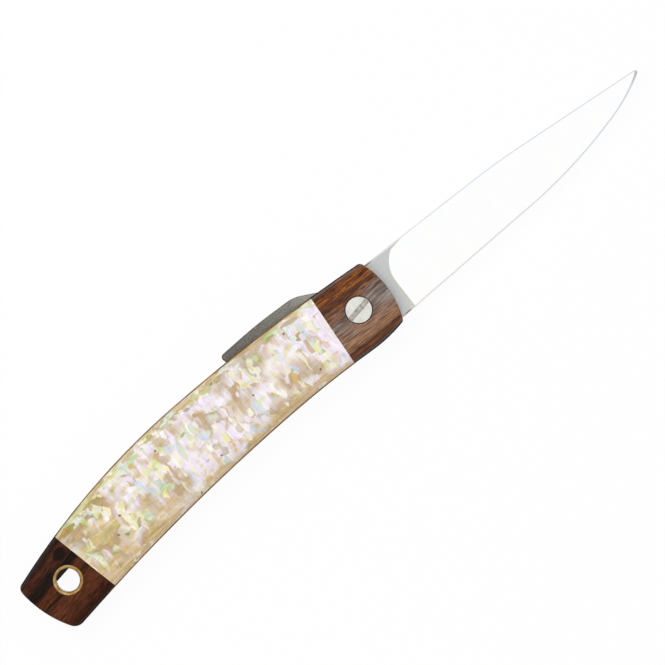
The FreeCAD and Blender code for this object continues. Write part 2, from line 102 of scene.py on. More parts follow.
# Belt lines 0.3 mm apart along the flats, buffing clouds 1.5 mm wide across the ground faces.
belt_place = add(tree, "Mapping", {0: millimetres, "Scale": (1 / 9.0, 1 / 0.3, 1 / 0.3)})
belt = add(tree, "TexNoise", {"Vector": belt_place, "Scale": 1.0, "Detail": 3.0, "Roughness": 0.6})
cloud_place = add(tree, "Mapping", {0: millimetres, "Scale": (1 / 1.5, 1 / 12.0, 1 / 12.0)})
cloud = add(tree, "TexNoise", {"Vector": cloud_place, "Scale": 1.0, "Detail": 2.0})
# Painted shade: the satin darkens from the ricasso to the lever's tail.
tail_painted_shade = add(tree, "MapRange", {0: along, 1: -3.0, 2: -36.0, 3: 0.0, 4: 1.0})
satin = add(
    tree,
    "ValToRGB",
    {0: tail_painted_shade},
    stops=[
        (0.0, "#D3D6D4"),
        (0.1, "#B2B0AB"),
        (0.3, "#918E88"),
        (0.65, "#7F7B75"),
        (1.0, "#77706B"),
    ],
)
belt_shade = add(tree, "MapRange", {0: belt, 1: 0.25, 2: 0.75, 3: 0.93, 4: 1.05})
satin = add(
    tree,
    "Mix",
    {0: 1.0, 6: satin, 7: belt_shade},
    out=2,
    data_type="RGBA",
    blend_type="MULTIPLY",
)
# The grain on the lever: light and dark specks 0.4 mm wide.
specks = add(
    tree, "TexNoise", {"Vector": millimetres, "Scale": 1 / 0.4, "Detail": 2.0, "Roughness": 0.7}
)
speck_shade = add(tree, "MapRange", {0: specks, 1: 0.32, 2: 0.68, 3: 0.7, 4: 1.3})
forged = add(tree, "MapRange", {0: along, 1: -4.0, 2: -12.0, 3: 0.0, 4: 1.0})
satin = add(
    tree,
    "Mix",
    {0: forged, 6: satin, 7: speck_shade},
    out=2,
    data_type="RGBA",
    blend_type="MULTIPLY",
)
mirror = add(tree, "ValToRGB", {0: cloud}, stops=[(0.35, "#FCFDFD"), (0.6, "#FEFEFD")])
steel_colour = add(tree, "Mix", {0: ground, 6: satin, 7: mirror}, out=2, data_type="RGBA")
# The corner of the back is rolled over by the wheel, and a thin cool line is painted along it as a
# painted reflection.
# It lies on two straight runs with a slow bend between them.
back_bend = (52.6, 5.66)
back_ends = [(8.6, 7.95), (98.1, -0.2)]
bend_softness = 0.88
back_runs = []
for end_x, end_y in back_ends:
    slope = (end_y - back_bend[1]) / (end_x - back_bend[0])
    start = back_bend[1] - slope * back_bend[0]
    back_runs.append(add(tree, "Math", {0: along, 1: slope, 2: start}, operation="MULTIPLY_ADD"))
back_line = add(
    tree, "Math", {0: back_runs[0], 1: back_runs[1], 2: bend_softness}, operation="SMOOTH_MIN"
)
under_back = add(tree, "Math", {0: back_line, 1: across}, operation="SUBTRACT")
rolled = add(tree, "MapRange", {0: under_back, 1: 0.1, 2: 0.4, 3: 0.66, 4: 0.0})
rolled = add(tree, "Math", {0: rolled, 1: on_blade}, operation="MULTIPLY")
# Painted reflection: the cool line along the rolled corner.
steel_colour = add(
    tree, "Mix", {0: rolled, 6: steel_colour, 7: linear("#B4C0DC")}, out=2, data_type="RGBA"
)
# The edge is honed on a fine stone at 20 degrees, which leaves a narrow matt facet.
# Its colour is a painted reflection, warm near the handle, cool towards the tip and darker at the
# very tip.
honed = add(tree, "MapRange", {0: flatness, 1: 0.98, 2: 0.96, 3: 0.0, 4: 0.9})
honed = add(tree, "Math", {0: honed, 1: ground}, operation="MULTIPLY")
tipward = add(tree, "MapRange", {0: along, 1: 12.0, 2: 98.0, 3: 0.0, 4: 1.0})
edge_painted_reflection = add(
    tree,
    "ValToRGB",
    {0: tipward},
    stops=[
        (0.0, "#FDF4F0"),
        (0.42, "#F8EFF0"),
        (0.56, "#ECF0FA"),
        (0.93, "#E6EBF9"),
        (1.0, "#C4BCB2"),
    ],
)
steel_colour = add(
    tree, "Mix", {0: honed, 6: steel_colour, 7: edge_painted_reflection}, out=2, data_type="RGBA"
)
# The corners of the ricasso are broken by hand near the handle, and a dark line is painted along
# them there as painted shadow.
edge_y = -9.18
over_edge = add(tree, "Math", {0: across, 1: edge_y}, operation="SUBTRACT")
corner_rise = add(tree, "Math", {0: under_back, 1: over_edge}, operation="MINIMUM")
corner_painted_shadow = add(tree, "MapRange", {0: corner_rise, 1: 0.3, 2: 0.55, 3: 0.95, 4: 0.0})
near_handle = add(tree, "MapRange", {0: along, 1: 10.0, 2: 11.8, 3: 1.0, 4: 0.0})
corner_painted_shadow = add(tree, "Math", {0: corner_painted_shadow, 1: near_handle}, operation="MULTIPLY")
corner_painted_shadow = add(tree, "Math", {0: corner_painted_shadow, 1: on_blade}, operation="MULTIPLY")
steel_colour = add(
    tree, "Mix", {0: corner_painted_shadow, 6: steel_colour, 7: linear("#3A3632")}, out=2, data_type="RGBA"
)
# The steep plunge wall is painted near white, a painted reflection.
wall = add(tree, "Math", {0: on_blade, 1: not_steep}, operation="SUBTRACT", use_clamp=True)
steel_colour = add(
    tree, "Mix", {0: wall, 6: steel_colour, 7: linear("#F6F5EE")}, out=2, data_type="RGBA"
)
steel_gloss = add(tree, "MapRange", {0: ground, 3: 0.4, 4: 0.12})
# The stone left the honed edge matt. The plunge wall is given the same matt, less metallic finish
# as a painted reflection, and both look paler than the satin.
matt = add(tree, "Math", {0: wall, 1: honed}, operation="MAXIMUM")
steel_gloss = add(
    tree, "Math", {0: matt, 1: 0.5, 2: steel_gloss}, operation="MULTIPLY_ADD", use_clamp=True
)
steel_share = add(tree, "MapRange", {0: matt, 3: 1.0, 4: 0.3})
depth = add(tree, "MapRange", {0: ground, 3: 0.3, 4: 0.0})
bumped = add(tree, "Bump", {"Strength": depth, "Distance": 0.00004, "Height": belt})
surface = add(
    tree,
    "BsdfPrincipled",
    {
        "Base Color": steel_colour,
        "Metallic": steel_share,
        "Roughness": steel_gloss,
        "Normal": bumped,
    },
)
add(tree, "OutputMaterial", {0: surface})
dress(blade_steel, "blade")


# Friction washers: rings punched from rolled bronze sheet, one on each side of the tang.
# They show only as a thin warm line between tang and liner.
washer_bronze, tree = finish_named("phosphor_bronze_rolled")
place = add(tree, "TexCoord", out="Object")
rolled_place = add(
    tree, "Mapping", {0: place, "Scale": (mm_per_m / 6.0, mm_per_m / 0.4, mm_per_m / 0.4)}
)
rolled = add(tree, "TexNoise", {"Vector": rolled_place, "Scale": 1.0, "Detail": 3.0})
bronze = add(tree, "ValToRGB", {0: rolled}, stops=[(0.3, "#9A6A3C"), (0.7, "#B98650")])
surface = add(tree, "BsdfPrincipled", {"Base Color": bronze, "Metallic": 1.0, "Roughness": 0.35})
add(tree, "OutputMaterial", {0: surface})
dress(washer_bronze, "washer_left", "washer_right")


# Stop pin, spacer rivets and dowels: lengths of drawn steel wire, cut and peened or pressed in.
# Drawing leaves fine lines along a wire that is bright but not polished.
pin_steel, tree = finish_named("steel_wire_drawn")
place = add(tree, "TexCoord", out="Object")
drawn_place = add(
    tree, "Mapping", {0: place, "Scale": (mm_per_m / 0.15, mm_per_m / 0.15, mm_per_m / 4.0)}
)
drawn = add(tree, "TexNoise", {"Vector": drawn_place, "Scale": 1.0, "Detail": 2.0})
wire = add(tree, "ValToRGB", {0: drawn}, stops=[(0.3, "#B4B4B0"), (0.7, "#D0D0CC")])
surface = add(tree, "BsdfPrincipled", {"Base Color": wire, "Metallic": 1.0, "Roughness": 0.3})
add(tree, "OutputMaterial", {0: surface})
dress(pin_steel, "stop_pin", "spacer_pins", "bolster_dowels", "end_block_dowels")


# Liners: two plates of ground sheet steel that carry the pivot and stiffen the sides.
# Grinding left fine lines along the handle, and a plain grey shine on faces and edges.
liner_steel, tree = finish_named("steel_sheet_ground")
place = add(tree, "TexCoord", out="Object")
sheet_place = add(
    tree, "Mapping", {0: place, "Scale": (mm_per_m / 14.0, mm_per_m / 0.3, mm_per_m / 0.3)}
)
sheet = add(tree, "TexNoise", {"Vector": sheet_place, "Scale": 1.0, "Detail": 4.0})
plate = add(tree, "ValToRGB", {0: sheet}, stops=[(0.3, "#9C9B97"), (0.7, "#BDBCB8")])
surface = add(tree, "BsdfPrincipled", {"Base Color": plate, "Metallic": 1.0, "Roughness": 0.38})
add(tree, "OutputMaterial", {0: surface})
dress(liner_steel, "liner_left", "liner_right")


# Back spacer: a strip of oiled, nearly black hardwood that is riveted between the liners.
# Long fibres give a close dark grain with a dull shine.
spacer_wood, tree = finish_named("blackwood_oiled")
place = add(tree, "TexCoord", out="Object")
fibre_place = add(
    tree, "Mapping", {0: place, "Scale": (mm_per_m / 12.0, mm_per_m / 0.5, mm_per_m / 0.5)}
)
fibre = add(
    tree, "TexNoise", {"Vector": fibre_place, "Scale": 1.0, "Detail": 4.0, "Roughness": 0.6}
)
blackwood = add(
    tree,
    "ValToRGB",
    {0: fibre},
    stops=[(0.3, "#1C100A"), (0.5, "#33200F"), (0.7, "#452A17")],
)
bumped = add(tree, "Bump", {"Strength": 0.2, "Distance": 0.00005, "Height": fibre})
surface = add(
    tree,
    "BsdfPrincipled",
    {"Base Color": blackwood, "Roughness": 0.45, "Specular IOR Level": 0.3, "Normal": bumped},
)
add(tree, "OutputMaterial", {0: surface})
dress(spacer_wood, "back_spacer")


# Backings: thin strips of brown hardwood veneer, glued between the liners and the covers.
# Only their edges show, as a brown line that follows the handle, with the grain running along it.
backing_wood, tree = finish_named("walnut_veneer_waxed")
place = add(tree, "TexCoord", out="Object")
grain_place = add(
    tree, "Mapping", {0: place, "Scale": (mm_per_m / 10.0, mm_per_m / 0.4, mm_per_m / 0.4)}
)
grain = add(
    tree, "TexNoise", {"Vector": grain_place, "Scale": 1.0, "Detail": 4.0, "Roughness": 0.6}
)
walnut = add(
    tree,
    "ValToRGB",
    {0: grain},
    stops=[(0.3, "#5E4429"), (0.5, "#8A6740"), (0.7, "#A8855A")],
)
# The strip is darker at both ends, where it lies under the wood blocks.
along = add(tree, "SeparateXYZ", {0: place}, out="X")
front_darker = add(tree, "MapRange", {0: along, 1: -0.001, 2: 0.002, 3: 0.0, 4: 0.9})
rear_darker = add(tree, "MapRange", {0: along, 1: -0.0875, 2: -0.0895, 3: 0.0, 4: 0.9})
ends_darker = add(tree, "Math", {0: front_darker, 1: rear_darker}, operation="ADD")
walnut = add(tree, "Mix", {0: ends_darker, 6: walnut, 7: linear("#2A180E")}, out=2, data_type="RGBA")
bumped = add(tree, "Bump", {"Strength": 0.15, "Distance": 0.00004, "Height": grain})
surface = add(
    tree,
    "BsdfPrincipled",
    {"Base Color": walnut, "Roughness": 0.5, "Specular IOR Level": 0.1, "Normal": bumped},
)
add(tree, "OutputMaterial", {0: surface})
dress(backing_wood, "backing_left", "backing_right")


# Front bolsters: blocks of streaked rosewood, sawn with the grain along the handle.
# Red-brown and orange bands alternate with near-black ones under a low gloss of wax.
# They are glued on, and two dowels each keep them in place.
bolster_wood, tree = finish_named("rosewood_streaked_waxed")
place = add(tree, "TexCoord", out="Object")
from_pivot = add(tree, "VectorMath", {0: place, 1: pivot}, operation="SUBTRACT")
millimetres = add(tree, "VectorMath", {0: from_pivot, "Scale": mm_per_m}, operation="SCALE")
grain_turn = math.radians(1.5)
turned = add(tree, "Mapping", {0: millimetres, "Rotation": (0.0, 0.0, grain_turn)})
# Growth bands lie across the grain from belly to back and wander by about half a millimetre.
wander_place = add(tree, "Mapping", {0: turned, "Scale": (1 / 14.0, 1 / 2.4, 1 / 2.4)})
wander = add(tree, "TexNoise", {"Vector": wander_place, "Scale": 1.0, "Detail": 3.0})
across = add(tree, "SeparateXYZ", {0: turned}, out="Y")
shifted = add(tree, "Math", {0: wander, 1: 1.6, 2: across}, operation="MULTIPLY_ADD")
band_place = add(tree, "MapRange", {0: shifted, 1: -9.0, 2: 10.0, 3: 0.0, 4: 1.0})
# The bands across the bolster also hold painted light: a greyish painted sheen in the middle and,
# near the belly, a thin orange painted highlight between bands of painted shade.
bands = add(
    tree,
    "ValToRGB",
    {0: band_place},
    stops=[
        (0.0, "#34160A"),
        (0.05, "#7C4420"),
        (0.09, "#4E2F24"),
        (0.14, "#956C4C"),
        (0.29, "#8E6C57"),
        (0.4, "#8A6752"),
        (0.49, "#6E5850"),
        (0.56, "#6A5148"),
        (0.62, "#855A42"),
        (0.67, "#593017"),
        (0.72, "#7A4219"),
        (0.78, "#4C230D"),
        (0.83, "#713A11"),
        (0.88, "#5A290C"),
        (0.94, "#733F17"),
        (1.0, "#52290E"),
    ],
)
# Fibres 0.3 mm wide and about 5 mm long lighten and darken the bands.
fibre_place = add(tree, "Mapping", {0: turned, "Scale": (1 / 4.5, 1 / 0.3, 1 / 0.3)})
fibre = add(
    tree, "TexNoise", {"Vector": fibre_place, "Scale": 1.0, "Detail": 4.0, "Roughness": 0.7}
)
fibre_shade = add(tree, "MapRange", {0: fibre, 1: 0.32, 2: 0.68, 3: 0.3, 4: 1.65})
grained = add(
    tree,
    "Mix",
    {0: 1.0, 6: bands, 7: fibre_shade},
    out=2,
    data_type="RGBA",
    blend_type="MULTIPLY",
)
# Resin-rich streaks 0.45 mm wide glow orange towards the back. Grey streaks 0.9 mm wide are a
# painted sheen;
# they lie in the middle and cover it at the front. A location only picks another part of a noise.
resin_place = add(
    tree,
    "Mapping",
    {0: turned, "Scale": (1 / 7.0, 1 / 0.45, 1 / 0.45), "Location": (3.1, 5.7, 1.3)},
)
resin = add(tree, "TexNoise", {"Vector": resin_place, "Scale": 1.0, "Detail": 2.0})
backward = add(tree, "MapRange", {0: across, 1: 1.5, 2: 4.5, 3: 0.12, 4: 0.75})
resin_mask = add(tree, "MapRange", {0: resin, 1: 0.54, 2: 0.64, 3: 0.0, 4: 1.0})
resin_mask = add(tree, "Math", {0: resin_mask, 1: backward}, operation="MULTIPLY")
grained = add(
    tree, "Mix", {0: resin_mask, 6: grained, 7: linear("#AE6420")}, out=2, data_type="RGBA"
)
sheen_place = add(
    tree, "Mapping", {0: turned, "Scale": (1 / 9.0, 1 / 0.9, 1 / 0.9), "Location": (7.3, 2.2, 4.4)}
)
painted_sheen = add(tree, "TexNoise", {"Vector": sheen_place, "Scale": 1.0, "Detail": 3.0})
off_middle = add(tree, "Math", {0: across}, operation="ABSOLUTE")
middle = add(tree, "MapRange", {0: off_middle, 1: 2.0, 2: 5.0, 3: 0.7, 4: 0.0})
painted_sheen_mask = add(tree, "MapRange", {0: painted_sheen, 1: 0.5, 2: 0.64, 3: 0.0, 4: 1.0})
painted_sheen_mask = add(tree, "Math", {0: painted_sheen_mask, 1: middle}, operation="MULTIPLY")
forward = add(tree, "SeparateXYZ", {0: turned}, out="X")
forward = add(tree, "MapRange", {0: forward, 1: 1.0, 2: 5.5, 3: 0.0, 4: 0.95})
painted_sheen_front = add(tree, "Math", {0: forward, 1: middle}, operation="MULTIPLY")
painted_sheen_mask = add(tree, "Math", {0: painted_sheen_mask, 1: painted_sheen_front}, operation="MAXIMUM")
painted_sheen_tint = add(
    tree,
    "ValToRGB",
    {0: painted_sheen},
    stops=[(0.38, "#544B45"), (0.47, "#7E746C"), (0.56, "#8E857E"), (0.66, "#989490")],
)
grained = add(tree, "Mix", {0: painted_sheen_mask, 6: grained, 7: painted_sheen_tint}, out=2, data_type="RGBA")
# The finest fibres, 0.25 mm wide and 3 to 4 mm long, break up every streak.
hair_place = add(
    tree,
    "Mapping",
    {0: turned, "Scale": (1 / 3.5, 1 / 0.25, 1 / 0.25), "Location": (1.9, 8.4, 6.1)},
)
hair = add(tree, "TexNoise", {"Vector": hair_place, "Scale": 1.0, "Detail": 3.0, "Roughness": 0.6})
hair_shade = add(tree, "MapRange", {0: hair, 1: 0.32, 2: 0.68, 3: 0.48, 4: 1.5})
grained = add(
    tree,
    "Mix",
    {0: 1.0, 6: grained, 7: hair_shade},
    out=2,
    data_type="RGBA",
    blend_type="MULTIPLY",
)
# Open pores are dark dashes 2 to 3 mm long, closest near the back.
# Real ones are 0.15 mm wide, and they are drawn 0.3 mm wide so that they show.
pore_place = add(tree, "Mapping", {0: turned, "Scale": (1 / 2.8, 1 / 0.3, 1 / 0.3)})
pore = add(tree, "TexNoise", {"Vector": pore_place, "Scale": 1.0, "Detail": 1.0})
open_pore = add(tree, "MapRange", {0: pore, 1: 0.58, 2: 0.64, 3: 0.0, 4: 1.0})
pore_share = add(tree, "MapRange", {0: across, 1: 1.0, 2: 4.5, 3: 0.3, 4: 0.85})
open_pore = add(tree, "Math", {0: open_pore, 1: pore_share}, operation="MULTIPLY")
rosewood = add(
    tree, "Mix", {0: open_pore, 6: grained, 7: linear("#1E0F08")}, out=2, data_type="RGBA"
)
wood_gloss = add(tree, "MapRange", {0: fibre, 1: 0.3, 2: 0.7, 3: 0.42, 4: 0.3})
bumped = add(tree, "Bump", {"Strength": 0.15, "Distance": 0.00004, "Height": fibre})
surface = add(
    tree,
    "BsdfPrincipled",
    {
        "Base Color": rosewood,
        "Roughness": wood_gloss,
        "Specular IOR Level": 0.3,
        "Normal": bumped,
    },
)
add(tree, "OutputMaterial", {0: surface})
dress(bolster_wood, "bolster_left", "bolster_right")


# Shell panels: chips of mother-of-pearl in clear resin, glued on, ground round and polished.
# The chips lie flat in thin layers, so the face shows bright flakes.
# The rounded flanks cut through the resin between them and show tan streaks.
shell, tree = finish_named("mother_of_pearl_laminate_polished")
place = add(tree, "TexCoord", out="Object")
millimetres = add(tree, "VectorMath", {0: place, "Scale": mm_per_m}, operation="SCALE")
along = add(tree, "SeparateXYZ", {0: millimetres}, out="X")
normal = add(tree, "TexCoord", out="Normal")
sideways = add(tree, "SeparateXYZ", {0: normal}, out="Y")
# The layers of the laminate wave by up to 1 mm over 4 mm, and all that lies in them follows.
ripple = add(tree, "TexNoise", {"Vector": millimetres, "Scale": 0.25, "Detail": 1.0}, out="Color")
centred = add(tree, "VectorMath", {0: ripple, 1: (0.5, 0.5, 0.5)}, operation="SUBTRACT")
bent = add(
    tree,
    "VectorMath",
    {0: centred, 1: (2.0, 2.0, 0.3), 2: millimetres},
    operation="MULTIPLY_ADD",
)
# Clear resin over deeper chips: warm beige and tan clouds 4 to 7 mm wide.
resin_cloud = add(tree, "TexNoise", {"Vector": bent, "Scale": 0.2, "Detail": 3.0})
colour = add(
    tree,
    "ValToRGB",
    {0: resin_cloud},
    stops=[
        (0.32, "#B4A799"),
        (0.43, "#C8B7A4"),
        (0.5, "#BE9F70"),
        (0.58, "#C7AF8E"),
        (0.68, "#D8C7C0"),
    ],
)
# The resin is more yellow towards the butt.
yellowed = add(tree, "MapRange", {0: along, 1: -45.0, 2: -75.0, 3: 0.0, 4: 1.0})
colour = add(
    tree,
    "Mix",
    {0: yellowed, 6: colour, 7: linear("#F1E6D6")},
    out=2,
    data_type="RGBA",
    blend_type="MULTIPLY",
)
# Growth lines of the shell, 1 to 2 mm apart, stand across the handle and make the chips ragged.
line_place = add(tree, "Mapping", {0: bent, "Scale": (1 / 1.3, 1 / 9.0, 1 / 1.3)})
growth = add(
    tree, "TexNoise", {"Vector": line_place, "Scale": 1.0, "Detail": 2.0, "Roughness": 0.5}
)
rough = add(tree, "MapRange", {0: growth, 1: 0.3, 2: 0.7, 3: -0.1, 4: 0.1})
band_place = add(tree, "Mapping", {0: bent, "Scale": (1 / 2.1, 1 / 8.0, 1 / 2.1)})
# Chips crowd together in some places and leave the resin open in others, 7 mm and more apart.
crowd = add(tree, "TexNoise", {"Vector": millimetres, "Scale": 1 / 7.0, "Detail": 1.0})
crowd = add(tree, "MapRange", {0: crowd, 1: 0.3, 2: 0.7, 3: 0.16, 4: -0.2})
rough = add(tree, "Math", {0: rough, 1: crowd}, operation="ADD")
# Chips lie in layers, the deepest first. A layer has the pitch of its places in millimetres,
# the form of its chips, their turn in degrees and their half width as a share of the pitch.
# Then come how much the growth lines change their colour, how white their middle is, how far the
# edge fades out, the share of places that hold a chip, how clearly it shows and its colours.
layers = [
    {
        "pitch": (7.0, 6.4, 3.0),
        "form": "EUCLIDEAN",
        "turn": 8.0,
        "half": 0.8,
        "bands": 0.8,
        "white": 0.7,
        "fade": 0.5,
        "held": 0.78,
        "clear": 0.95,
        "lustre": [
            (0.0, "#F2E4F8"),
            (0.3, "#FBF6FA"),
            (0.5, "#EADDE6"),
            (0.65, "#FAF3DE"),
            (0.8, "#D2BE9C"),
            (1.0, "#EADCF0"),
        ],
    },
    {
        "pitch": (8.6, 6.8, 3.0),
        "form": "CHEBYCHEV",
        "turn": -5.0,
        "half": 0.58,
        "bands": 1.15,
        "white": 0.6,
        "fade": 0.3,
        "held": 0.56,
        "clear": 0.88,
        "lustre": [
            (0.05, "#CDB283"),
            (0.2, "#F0E0F6"),
            (0.35, "#FFFCFD"),
            (0.48, "#F3E3F4"),
            (0.58, "#FDF8DC"),
            (0.68, "#F6EAF6"),
            (0.78, "#C9D8EC"),
            (0.9, "#E0E2A6"),
        ],
    },
    {
        "pitch": (4.6, 3.8, 2.0),
        "form": "CHEBYCHEV",
        "turn": 9.0,
        "half": 0.5,
        "bands": 0.9,
        "white": 0.45,
        "fade": 0.16,
        "held": 0.55,
        "clear": 0.8,
        "lustre": [
            (0.05, "#FBF4D0"),
            (0.18, "#F8F0F6"),
            (0.3, "#ECDDF2"),
            (0.44, "#FFFDFC"),
            (0.55, "#DFE3A4"),
            (0.66, "#C8D8EC"),
            (0.75, "#EFD2CC"),
            (0.84, "#CBA766"),
            (0.94, "#B8A68C"),
        ],
    },
    {
        "pitch": (2.0, 6.6, 1.4),
        "form": "CHEBYCHEV",
        "turn": -6.0,
        "half": 0.48,
        "bands": 0.3,
        "white": 0.2,
        "fade": 0.14,
        "held": 0.46,
        "clear": 0.8,
        "lustre": [
            (0.0, "#F0E2F6"),
            (0.28, "#FAF1C0"),
            (0.42, "#BED3EE"),
            (0.56, "#DDE490"),
            (0.7, "#FDFAFB"),
            (0.85, "#C4A15E"),
            (0.95, "#F0E2F6"),
        ],
    },
    {
        "pitch": (1.9, 3.0, 1.0),
        "form": "CHEBYCHEV",
        "turn": 13.0,
        "half": 0.38,
        "bands": 0.0,
        "white": 0.0,
        "fade": 0.18,
        "held": 0.42,
        "clear": 0.9,
        "lustre": [
            (0.0, "#FFFDFA"),
            (0.25, "#FBF0BC"),
            (0.38, "#DDE8AC"),
            (0.52, "#F3E4F8"),
            (0.7, "#FFFDFA"),
            (0.86, "#F8F0E2"),
            (0.93, "#EFCFCA"),
            (0.98, "#D8B470"),
        ],
    },
]
# The rounding towards belly and back cuts below the best chips, along an uneven line.
depth_noise = add(tree, "TexNoise", {"Vector": bent, "Scale": 0.3, "Detail": 2.0})
unevenness = add(tree, "MapRange", {0: depth_noise, 1: 0.3, 2: 0.7, 3: -0.45, 4: 0.45})
slope = add(tree, "Math", {0: sideways, 1: unevenness}, operation="ADD")
# Grinding cut the chips at a slant near the back, where they show as slivers along the handle.
sliver_place = add(tree, "Mapping", {0: bent, "Scale": (1 / 5.0, 1 / 1.4, 1 / 1.4)})
sliver_cell = add(
    tree,
    "TexVoronoi",
    {"Vector": sliver_place, "Scale": 1.0, "Randomness": 0.95},
    out="Color",
    distance="CHEBYCHEV",
)
kind = add(tree, "SeparateColor", {0: sliver_cell}, out="Red")
sliver = add(
    tree,
    "ValToRGB",
    {0: kind},
    stops=[
        (0.0, "#A8936C"),
        (0.18, "#CFDA98"),
        (0.32, "#F3ECDC"),
        (0.46, "#9E8E78"),
        (0.6, "#CDF2CC"),
        (0.74, "#EFE6EE"),
        (0.88, "#B8965A"),
    ],
)
slanted = add(
    tree,
    "MapRange",
    {0: slope, 1: 0.18, 2: 0.4, 3: 0.0, 4: 0.85},
    interpolation_type="SMOOTHSTEP",
)
# Flanks, picked by the way they face: the cut runs through the resin-rich layers, with streaks 0.7
# mm wide along the handle, and their tan is partly painted shade of the rounding.
# At the belly it goes deeper towards the butt.
rear_cut = add(tree, "MapRange", {0: along, 1: -50.0, 2: -88.0, 3: 0.0, 4: -0.3})
belly_slope = add(tree, "Math", {0: slope, 1: rear_cut}, operation="ADD")
belly_resin_and_shade = add(
    tree,
    "MapRange",
    {0: belly_slope, 1: -0.1, 2: -0.75, 3: 0.0, 4: 0.85},
    interpolation_type="SMOOTHSTEP",
)
back_resin_and_shade = add(
    tree,
    "MapRange",
    {0: slope, 1: 0.6, 2: 1.0, 3: 0.0, 4: 0.7},
    interpolation_type="SMOOTHSTEP",
)
flank_resin_and_shade = add(tree, "Math", {0: belly_resin_and_shade, 1: back_resin_and_shade}, operation="ADD")
streak_place = add(tree, "Mapping", {0: millimetres, "Scale": (1 / 14.0, 1 / 0.7, 1 / 0.7)})
streak = add(tree, "TexNoise", {"Vector": streak_place, "Scale": 1.0, "Detail": 3.0})
resin = add(
    tree,
    "ValToRGB",
    {0: streak},
    stops=[(0.3, "#CBA769"), (0.5, "#DCBC84"), (0.68, "#EED8AE")],
)
# Over 10 mm and more the deeper chips get a painted highlight where they turn to the light, and a
# tan painted shade, sunk into the resin, where they turn away.
turn_place = add(tree, "Mapping", {0: bent, "Scale": (1 / 11.0, 1 / 10.0, 1 / 11.0)})
turn = add(tree, "TexNoise", {"Vector": turn_place, "Scale": 1.0, "Detail": 2.0})
# The best of the shell was put to the front.
choice = add(tree, "MapRange", {0: along, 1: -10.0, 2: -90.0, 3: -0.045, 4: 0.005})
turn = add(tree, "Math", {0: turn, 1: choice}, operation="ADD")
chip_painted_highlight = add(
    tree,
    "MapRange",
    {0: turn, 1: 0.48, 2: 0.34, 3: 0.0, 4: 0.88},
    interpolation_type="SMOOTHSTEP",
)
chip_painted_shade = add(
    tree,
    "MapRange",
    {0: turn, 1: 0.43, 2: 0.6, 3: 0.0, 4: 0.62},
    interpolation_type="SMOOTHSTEP",
)
# In the painted highlight, the growth lines part the chips into white, lilac, pale blue and cream.
highlight_painted_tint = add(
    tree,
    "ValToRGB",
    {0: growth},
    stops=[
        (0.33, "#D6E0F8"),
        (0.42, "#F5E6FF"),
        (0.5, "#FFF8FF"),
        (0.58, "#F3E3FC"),
        (0.7, "#F7F0D4"),
    ],
)
chip_offset = (20.0, 20.0, 20.0)
for layer in layers:
    if layer is layers[2]:
        # The two deepest layers are in place. Chips over a sunken spot are smaller.
        # The painted highlight and painted shade go over them.
        colour = add(tree, "Mix", {0: chip_painted_highlight, 6: colour, 7: highlight_painted_tint}, out=2, data_type="RGBA")
        colour = add(
            tree, "Mix", {0: chip_painted_shade, 6: colour, 7: linear("#BA9F7A")}, out=2, data_type="RGBA"
        )
        rough = add(tree, "Math", {0: chip_painted_shade, 1: 0.2, 2: rough}, operation="MULTIPLY_ADD")
    if layer is layers[-1]:
        # The top layer's chips lie over the resin of the flanks too.
        colour = add(tree, "Mix", {0: slanted, 6: colour, 7: sliver}, out=2, data_type="RGBA")
        # The tan of the flanks is partly painted shade.
        colour = add(tree, "Mix", {0: flank_resin_and_shade, 6: colour, 7: resin}, out=2, data_type="RGBA")
    chip_turn = math.radians(layer["turn"])
    chip_place = add(tree, "Mapping", {0: bent, "Rotation": (0.0, 0.0, chip_turn)})
    pitch = tuple(1 / length for length in layer["pitch"])
    chip_place = add(tree, "VectorMath", {0: chip_place, 1: pitch}, operation="MULTIPLY")
    cell = add(
        tree,
        "TexVoronoi",
        {"Vector": chip_place, "Scale": 1.0, "Randomness": 0.95},
        distance=layer["form"],
    ).node
    chance = add(tree, "SeparateColor", {0: cell.outputs["Color"]}, out="Green")
    kind = add(tree, "SeparateColor", {0: cell.outputs["Color"]}, out="Red")
    tilt = add(tree, "SeparateColor", {0: cell.outputs["Color"]}, out="Blue")
    # Each chip has growth lines of its own, which end at its edges.
    own_place = add(
        tree,
        "VectorMath",
        {0: cell.outputs["Color"], 1: chip_offset, 2: band_place},
        operation="MULTIPLY_ADD",
    )
    own_lines = add(tree, "TexNoise", {"Vector": own_place, "Scale": 1.0, "Detail": 1.0})
    own_lines = add(tree, "Math", {0: own_lines, 1: 0.5}, operation="SUBTRACT")
    kind = add(tree, "Math", {0: own_lines, 1: layer["bands"], 2: kind}, operation="MULTIPLY_ADD")
    reach = add(tree, "Math", {0: cell.outputs["Distance"], 1: rough}, operation="ADD")
    # A tilted chip shines on one side and sinks into the resin on the other.
    local = add(
        tree, "VectorMath", {0: chip_place, 1: cell.outputs["Position"]}, operation="SUBTRACT"
    )
    local_x = add(tree, "SeparateXYZ", {0: local}, out="X")
    tilt = add(tree, "MapRange", {0: tilt, 3: -0.5, 4: 0.5})
    reach = add(tree, "Math", {0: tilt, 1: local_x, 2: reach}, operation="MULTIPLY_ADD")
    solid_half = layer["half"] - layer["fade"]
    body = add(
        tree,
        "MapRange",
        {0: reach, 1: layer["half"], 2: solid_half, 3: 0.0, 4: layer["clear"]},
        interpolation_type="SMOOTHSTEP",
    )
    held = add(tree, "Math", {0: chance, 1: layer["held"]}, operation="LESS_THAN")
    body = add(tree, "Math", {0: body, 1: held}, operation="MULTIPLY")
    tint = add(tree, "ValToRGB", {0: kind}, stops=layer["lustre"])
    # The thick middle of a pale chip is whiter than its edge.
    core_half = layer["half"] * 0.55
    core = add(tree, "MapRange", {0: reach, 1: core_half, 2: 0.0, 3: 0.0, 4: layer["white"]})
    tint = add(tree, "Mix", {0: core, 6: tint, 7: linear("#FFFDFC")}, out=2, data_type="RGBA")
    colour = add(tree, "Mix", {0: body, 6: colour, 7: tint}, out=2, data_type="RGBA")
